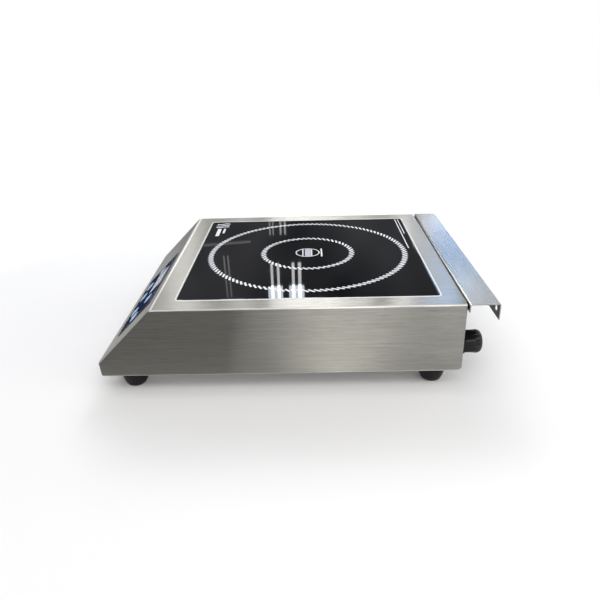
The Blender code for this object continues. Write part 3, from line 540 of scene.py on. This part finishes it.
FILMS = {
    "overlay": ("overlay_navy", (0.012, 0.018, 0.044), (0.026, 0.038, 0.078), (0.18, 0.34), 0.0),
    "key_pad": ("key_blue", (0.16, 0.33, 0.62), (0.22, 0.42, 0.72)),
    "window": ("window_pale", (0.46, 0.47, 0.54), (0.58, 0.59, 0.66), (0.2, 0.34), 0.05),
    "circuit_board": ("board_green", (0.01, 0.07, 0.03), (0.02, 0.12, 0.05), (0.3, 0.45)),
    "mica": ("mica_sheet", (0.34, 0.26, 0.15), (0.58, 0.48, 0.30), (0.15, 0.35)),
}
METALS = {
    "black_metal": ("steel_blackened", (0.02, 0.02, 0.022), (0.05, 0.05, 0.052), (0.3, 0.45)),
    "aluminium": (
        "aluminium_drawn", (0.52, 0.53, 0.54), (0.74, 0.75, 0.76), (0.26, 0.4), (900.0, 12.0, 900.0),
    ),
}


def make_finishes(steel):
    finishes = {"brushed_steel": steel, "plain_steel": plain_steel(), "black_glass": black_glass()}
    finishes["bead"] = sealant()
    finishes["copper"] = copper_winding()
    for table, kind in ((MOULDED, moulded), (FILMS, film), (METALS, metal)):
        for slot, values in table.items():
            finishes[slot] = kind(*values)
    return finishes


# CAD nodes


def sharpen(mesh, angle):
    """Marks the creases of a mesh whose faces don't share points."""
    points = np.array([v.co for v in mesh.vertices], float)
    _, merged = np.unique(np.round(points, 7), axis=0, return_inverse=True)
    merged = merged.reshape(-1)
    corner = {}
    for polygon in mesh.polygons:
        ring = [int(merged[v]) for v in polygon.vertices]
        for a, b in zip(ring, ring[1:] + ring[:1]):
            corner.setdefault(frozenset((a, b)), []).append(polygon.normal)
    limit = math.cos(math.radians(angle))
    for edge in mesh.edges:
        normals = corner.get(frozenset(int(merged[v]) for v in edge.vertices), [])
        edge.use_edge_sharp = len(normals) != 2 or normals[0].dot(normals[1]) < limit


def dress(node, finishes, special):
    obj = frame["nodes"][node]
    slot = obj.material_slots[0].material.name.split(".")[0]
    obj.material_slots[0].material = special.get(node, finishes[slot])
    obj.data.polygons.foreach_set("use_smooth", [True] * len(obj.data.polygons))
    sharpen(obj.data, CREASE)
    weld = obj.modifiers.new("weld", "WELD")
    weld.merge_threshold = WELD
    normals = obj.modifiers.new("normals", "WEIGHTED_NORMAL")
    normals.keep_sharp = True


# Printed marks


def circle(centre, radius, steps=ROUND):
    return arc(centre, radius, 0, 360 - 360 / steps, steps - 1)


def level_line(ends, height, width):
    """A straight line of ink across the print."""
    return [(ends[0], height), (ends[1], height)], width


def glass_marks(white, grey):
    coil_low, coil_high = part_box("induction_coil")
    low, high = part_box("ceramic_glass")
    middle = (coil_low + coil_high) / 2
    on_glass = Matrix.Translation((middle.x, middle.y, high.z))
    for name, (inner, outer, count) in RINGS.items():
        turn = STROKE_SLANT * (outer - inner) / outer
        strokes = []
        for index in range(count):
            start = 2 * math.pi * index / count
            ends = []
            for share in (0, 0.33, 0.67, 1):
                radius, angle = inner + share * (outer - inner), start + share * turn
                ends.append((radius * math.cos(angle), radius * math.sin(angle)))
            strokes.append((ends, STROKE_WIDTH))
        printed("print_ring_" + name, on_glass, strokes, white, "cooker")

    icon = [(circle((0, 0), ICON_RADIUS), ICON_LINE, True)]
    icon += [level_line(*line) for line in (*ICON_LEVELS, ICON_BAR)]
    printed("print_pan_outline", on_glass, icon, white, "cooker")
    printed("print_pan_body", on_glass, [level_line(*PAN_BODY)], grey, "cooker")

    rear = high.y - middle.y
    start = low.x - middle.x
    rules = []
    for end, inset, width in RULES:
        rules.append(level_line((start + RULE_START, start + end), rear - inset, width))
    printed("print_rules", on_glass, rules, white, "cooker")


def corner_mark(white):
    """A heat sign of three waves and two bars, in the left front corner of the glass."""
    low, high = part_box("ceramic_glass")
    on_glass = Matrix.Translation((low.x + CORNER_INSET[0], low.y + CORNER_INSET[1], high.z))
    count, start, pitch = WAVES
    lines = []
    for index in range(count):
        x = start + index * pitch
        wave = []
        for step in range(WAVE_STEPS + 1):
            y = WAVE_LENGTH * step / WAVE_STEPS
            wave.append((x + WAVE_SWING * math.sin(2 * math.pi * step / WAVE_STEPS), y))
        lines.append((wave, WAVE_WIDTH))
    lines += [level_line(*bar) for bar in CORNER_BARS]
    printed("print_corner_mark", on_glass, lines, white, "cooker")


def panel_matrix(x, y, z):
    """A frame on the key panel: across, up the slope, and out of it."""
    turn = Matrix(((1, 0, 0), (0, SLANT, -SLANT), (0, SLANT, SLANT)))
    return Matrix.Translation((x, y, z)) @ turn.to_4x4()


def key_symbols():
    r = SYMBOL
    open_ring = arc((0, 0), r, 125, 415, 24)
    clock = circle((0, 0), r, 32)
    hands = [(0, 0.6 * r), (0, 0), (0.5 * r, 0)]
    shackle = arc((0, 0.12 * r), 0.5 * r, 0, 180, 12)
    half = SIGN_LINE / 2 + 0.00001  # the plus's upright stops short of its level line
    return {
        "power": [(open_ring, SYMBOL_LINE), ([(0, 0.15 * r), (0, 1.3 * r)], SYMBOL_LINE)],
        "minus": [level_line((-r, r), 0, SIGN_LINE)],
        "plus": [
            level_line((-r, r), 0, SIGN_LINE),
            ([(0, half), (0, r)], SIGN_LINE),
            ([(0, -r), (0, -half)], SIGN_LINE),
        ],
        "timer": [(clock, SYMBOL_LINE, True), (hands, HAND_LINE)],
        "lock": [level_line((-0.8 * r, 0.8 * r), -0.45 * r, 1.1 * r), (shackle, SYMBOL_LINE)],
        "function": [level_line((-r, r), y * r, SYMBOL_LINE) for y in (-0.7, 0, 0.7)],
    }


def key_marks(white):
    half = (KEY_LENGTH + KEY_THICK) / 2 * SLANT
    out = KEY_THICK / 2 * SLANT
    for key, lines in key_symbols().items():
        low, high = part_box("key_" + key)
        x = (low.x + high.x) / 2
        face = panel_matrix(x, low.y + half - out, high.z - half + out)
        printed("print_" + key, face, lines, white, key + "_key")


def digit(x, y, width, height):
    """The seven segments of one display digit."""
    gap = SEGMENT_GAP
    right, top, middle = x + width, y + height, y + height / 2
    across = [level_line((x + gap, right - gap), level, SEGMENT) for level in (y, middle, top)]
    upright = []
    for side in (x, right):
        upright.append(([(side, y + gap), (side, middle - gap)], SEGMENT))
        upright.append(([(side, middle + gap), (side, top - gap)], SEGMENT))
    return across + upright


def on_panel(node):
    """A frame on the outer face of a sheet that lies on the key panel, and the sheet's size."""
    low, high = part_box(node)
    middle = (low + high) / 2
    rise = FACE_RISE * SLANT
    return panel_matrix(middle.x, middle.y - rise, middle.z + rise), high - low


def panel_marks(white, dark):
    glass, _ = on_panel("display_window")
    count, start, pitch = DIGITS
    lines = []
    for index in range(count):
        lines += digit(start + index * pitch, DIGIT_BASE, *DIGIT_SIZE)
    printed("print_digits", glass, lines, dark, "cooker")

    sheet, size = on_panel("membrane_overlay")
    across, up = size.x / 2 - BORDER_INSET[0], size.y / 2 / SLANT - BORDER_INSET[1]
    border = [(-across, -up), (across, -up), (across, up), (-across, up)]
    printed("print_border", sheet, [(border, SYMBOL_LINE, True)], white, "cooker")


# Fittings


def foot_profile(top, wide):
    """A closed loop: boss, shoulder, bowl, sole and screw well."""
    rim = top - FOOT_SHOULDER_DROP
    shoulder = arc((wide - FOOT_SHOULDER, rim - FOOT_SHOULDER), FOOT_SHOULDER, 90, 0, 5)
    groove = [(wide + change, height) for change, height in FOOT_GROOVE]
    crown = top - FOOT_TOP_GAP
    profile = [(FOOT_BORE, crown), (FOOT_BOSS, crown), (FOOT_BOSS, rim)]
    return [*profile, *shoulder, *groove, *FOOT_BOWL, *FOOT_SOLE, (FOOT_BORE, FOOT_SOLE[-1][1])]


def feet(rubber):
    """Bowl-shaped feet with a narrower boss on top and a screw well in the sole."""
    for end in ("front", "rear"):
        for side in ("left", "right"):
            name = f"foot_{end}_{side}"
            low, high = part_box(name)
            x, y = (low.x + high.x) / 2, (low.y + high.y) / 2
            profile = foot_profile(high.z, (high.x - low.x) / 2)
            foot = turned("rubber_" + name, profile, Matrix.Translation((x, y, 0)))
            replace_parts(place(foot, rubber, "cooker"), name)


def screw_head(name, matrix, radius, steel):
    """A pan head with a cross recess, standing on the XY plane of its matrix."""
    bm = bmesh.new()
    height = SCREW_HEAD_HEIGHT * radius
    angles = [2 * math.pi * step / SCREW_STEPS for step in range(SCREW_STEPS)]
    rows = []
    for share, rise in SCREW_HEAD:
        r = share * radius
        rows.append([bm.verts.new((r * math.cos(a), r * math.sin(a), rise * height)) for a in angles])
    recess = []
    for angle in angles:
        spoke = abs(math.cos(2 * angle)) ** 6
        r = radius * (RECESS[0] + RECESS[1] * spoke)
        recess.append(bm.verts.new((r * math.cos(angle), r * math.sin(angle), height)))
    bottom = [bm.verts.new((v.co.x * 0.8, v.co.y * 0.8, 0.45 * height)) for v in recess]
    rows += [recess, bottom]
    for near, far in zip(rows, rows[1:]):
        for i in range(SCREW_STEPS):
            j = (i + 1) % SCREW_STEPS
            bm.faces.new((near[i], near[j], far[j], far[i]))
    bm.faces.new(rows[0])
    bm.faces.new(bottom)
    bmesh.ops.transform(bm, matrix=matrix, verts=bm.verts)
    return place(smooth(from_bmesh(name, bm), 40), steel, "cooker")


def panel_screws(steel):
    """Four screws on the rear panel, and six through the bottom flanges into the base plate."""
    low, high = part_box("rear_panel")
    backwards = Matrix.Rotation(-math.pi / 2, 4, "X")
    aside, below, above = PANEL_SCREW_INSET
    places = [(x, z) for x in (low.x + aside, high.x - aside) for z in (low.z + below, high.z - above)]
    for index, (x, z) in enumerate(places, 1):
        matrix = Matrix.Translation((x, high.y, z)) @ backwards
        screw_head(f"rear_panel_screw_{index}", matrix, PANEL_SCREW, steel)
    low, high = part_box("housing_shell")
    downwards = Matrix.Rotation(math.pi, 4, "X")
    columns = (low.x + BASE_SCREW_INSET, high.x - BASE_SCREW_INSET)
    places = [(x, y) for x in columns for y in BASE_SCREW_Y]
    for index, (x, y) in enumerate(places, 1):
        matrix = Matrix.Translation((x, y, low.z)) @ downwards
        screw_head(f"base_screw_{index}", matrix, BASE_SCREW, steel)


def flute(angle, count, depth):
    return 1 - depth * max(0.0, math.cos(count * angle)) ** 4


def nut_radius(share, six, angle):
    """The nut's radius at an angle, as a share of its largest."""
    nearest = (angle + math.pi / 6) % (math.pi / 3) - math.pi / 6
    flat = min(NUT_FLAT / math.cos(nearest), 1.0)
    r = share * ((1 - six) + six * flat)
    if share > 0.7 and six < 1:
        r *= flute(angle, FLUTES[0], FLUTES[1] * (1 - six))
    return r


def dome_nut(nylon):
    """Hexagonal clamping nut that rounds over to a fluted dome with an open end."""
    low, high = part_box("gland_dome_nut")
    radius = (high.x - low.x) / 2
    length = high.y - low.y
    rows = []
    bm = bmesh.new()
    for share, along, six in NUT_PROFILE:
        row = []
        for step in range(NUT_STEPS):
            angle = 2 * math.pi * step / NUT_STEPS
            r = radius * nut_radius(share, six, angle)
            row.append(bm.verts.new((r * math.cos(angle), length * along, r * math.sin(angle))))
        rows.append(row)
    for near, far in zip(rows, rows[1:] + rows[:1]):
        for i in range(NUT_STEPS):
            j = (i + 1) % NUT_STEPS
            bm.faces.new((near[i], near[j], far[j], far[i]))
    middle = (low + high) / 2
    bmesh.ops.translate(bm, vec=(middle.x, low.y, middle.z), verts=bm.verts)
    nut = smooth(from_bmesh("gland_clamping_nut", bm), 28)
    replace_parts(place(nut, nylon, "cooker"), "gland_dome_nut")


# Studio


def floor():
    """A round pale floor that glows a little more with distance, so that it meets the backdrop."""
    bm = bmesh.new()
    bmesh.ops.create_circle(bm, cap_ends=True, segments=ROUND, radius=FLOOR_RADIUS)
    obj = from_bmesh("studio_floor", bm)
    finish = Finish("floor_pale", Roughness=0.8, Specular_IOR_Level=0.0)
    tone = finish.noise(2.0, 3.0)
    mask = finish.spread(tone, 0, 1)
    finish.wire("Base Color", finish.blend(mask, (0.80, 0.80, 0.80), (0.82, 0.82, 0.82)))
    reach = finish.add("ShaderNodeVectorMath", {0: finish.coordinates}, operation="LENGTH").outputs["Value"]
    finish.shader.inputs["Emission Color"].default_value = (1, 1, 1, 1)
    finish.wire("Emission Strength", finish.spread(reach, 0.04, 0.9, 0.5, 2.0))
    obj.data.materials.append(finish.material)
    obj.location.z = -0.0002


def direction(azimuth, elevation):
    """Azimuth 0 is straight behind the cooker as the camera sees it, and 90 is behind the rear guard."""
    a, e = math.radians(azimuth), math.radians(elevation)
    return Vector((-math.cos(a) * math.cos(e), math.sin(a) * math.cos(e), math.sin(e)))


def softbox(name, azimuths, elevations, distance, radiance, colour=(1, 1, 1)):
    """A rectangular light that fills these angles as seen from the glass, and faces it."""
    azimuth, elevation = sum(azimuths) / 2, sum(elevations) / 2
    across = 2 * distance * math.tan(math.radians(azimuths[1] - azimuths[0]) / 2)
    across *= math.cos(math.radians(elevation))
    tall = 2 * distance * math.tan(math.radians(elevations[1] - elevations[0]) / 2)
    data = bpy.data.lights.new(name, "AREA")
    data.shape = "RECTANGLE"
    data.size, data.size_y = across, tall
    data.energy = radiance * math.pi * across * tall
    data.color = colour
    obj = bpy.data.objects.new(name, data)
    facing = direction(azimuth, elevation)
    obj.location = GLASS_MIDDLE + facing * distance
    obj.rotation_mode = "QUATERNION"
    obj.rotation_quaternion = (-facing).to_track_quat("-Z", "Y")
    obj.visible_camera = False
    bpy.context.collection.objects.link(obj)


def overhead():
    """A long narrow light straight above, which draws the line along each bend."""
    data = bpy.data.lights.new("light_overhead", "AREA")
    data.shape = "RECTANGLE"
    data.size, data.size_y = OVERHEAD_SIZE
    data.energy = OVERHEAD_RADIANCE * math.pi * data.size * data.size_y
    obj = bpy.data.objects.new("light_overhead", data)
    obj.location = OVERHEAD_PLACE
    obj.visible_camera = False
    bpy.context.collection.objects.link(obj)


def lights():
    for name, *values in SOFTBOXES:
        softbox("light_" + name, *values)
    for index, azimuths in enumerate(TUBES, 1):
        for part, elevations, radiance in TUBE_PARTS:
            softbox(f"light_tube_{index}_{part}", azimuths, elevations, 2.2, radiance)
    overhead()


def cards():
    """Flat cards on the floor. Only shiny surfaces mirror them, and they cast no shadow."""
    for name, (corners, brightness) in CARDS.items():
        bm = bmesh.new()
        bm.faces.new([bm.verts.new((x, y, CARD_HEIGHT)) for x, y in corners])
        obj = from_bmesh(name, bm)
        finish = Finish(name, Roughness=0.9)
        finish.shader.inputs["Base Color"].default_value = (0, 0, 0, 1)
        finish.shader.inputs["Emission Color"].default_value = CARD_COLOUR
        strength = finish.spread(finish.noise(6.0, 2.0), 0.85 * brightness, 1.15 * brightness)
        finish.wire("Emission Strength", strength)
        obj.data.materials.append(finish.material)
        obj.visible_camera = False
        obj.visible_diffuse = False
        obj.visible_shadow = False


def world():
    """White behind everything, and a dim room of soft shapes for the metal and glass to mirror."""
    room = bpy.data.worlds.new("studio")
    bpy.context.scene.world = room
    room.use_nodes = True
    tree = room.node_tree
    links = tree.links.new
    background = tree.nodes["Background"]
    facing = tree.nodes.new("ShaderNodeTexCoord").outputs["Generated"]
    parts = tree.nodes.new("ShaderNodeSeparateXYZ")
    links(facing, parts.inputs[0])
    ramp = tree.nodes.new("ShaderNodeValToRGB")
    links(parts.outputs["Z"], ramp.inputs[0])
    elements = ramp.color_ramp.elements
    while len(elements) < len(ROOM):
        elements.new(0.5)
    for element, (position, value) in zip(elements, ROOM):
        element.position = position
        element.color = (value, value, 1.04 * value, 1)
    cloud = tree.nodes.new("ShaderNodeTexNoise")
    cloud.inputs["Scale"].default_value = 5.0
    cloud.inputs["Detail"].default_value = 2.0
    links(facing, cloud.inputs["Vector"])
    contrast = tree.nodes.new("ShaderNodeMapRange")
    links(cloud.outputs["Fac"], contrast.inputs["Value"])
    for socket, value in ROOM_SHAPES:
        contrast.inputs[socket].default_value = value
    shaded = tree.nodes.new("ShaderNodeVectorMath")
    shaded.operation = "SCALE"
    links(ramp.outputs[0], shaded.inputs[0])
    links(contrast.outputs[0], shaded.inputs["Scale"])
    choose = tree.nodes.new("ShaderNodeMix")
    choose.data_type = "RGBA"
    links(tree.nodes.new("ShaderNodeLightPath").outputs["Is Camera Ray"], choose.inputs[0])
    links(shaded.outputs[0], choose.inputs[6])
    choose.inputs[7].default_value = (1, 1, 1, 1)
    links(choose.outputs[2], background.inputs[0])


def camera():
    data = bpy.data.cameras.new("camera")
    data.lens = LENS
    data.sensor_width = SENSOR
    data.clip_start = 0.01
    obj = bpy.data.objects.new("camera", data)
    turn = Matrix((EYE_RIGHT, EYE_UP, EYE_BACK)).transposed().to_4x4()
    obj.matrix_world = Matrix.Translation(EYE) @ turn
    bpy.context.collection.objects.link(obj)
    bpy.context.scene.camera = obj


def main():
    lengthwise, crosswise = steel_finishes()
    finishes = make_finishes(lengthwise)
    white = ink("ink_white", (0.62, 0.63, 0.68), (0.80, 0.81, 0.85))
    grey = ink("ink_grey", (0.30, 0.30, 0.36), (0.40, 0.40, 0.46))
    dark = ink("ink_dark", (0.06, 0.06, 0.08), (0.10, 0.10, 0.13))
    special = {"rear_guard": crosswise}
    for node in frame["nodes"]:
        dress(node, finishes, special)
    glass_marks(white, grey)
    corner_mark(white)
    key_marks(white)
    panel_marks(white, dark)
    feet(finishes["rubber"])
    panel_screws(finishes["plain_steel"])
    dome_nut(finishes["black_plastic"])
    floor()
    cards()
    lights()
    world()
    camera()
    bpy.context.scene.view_settings.view_transform = "Standard"


main()
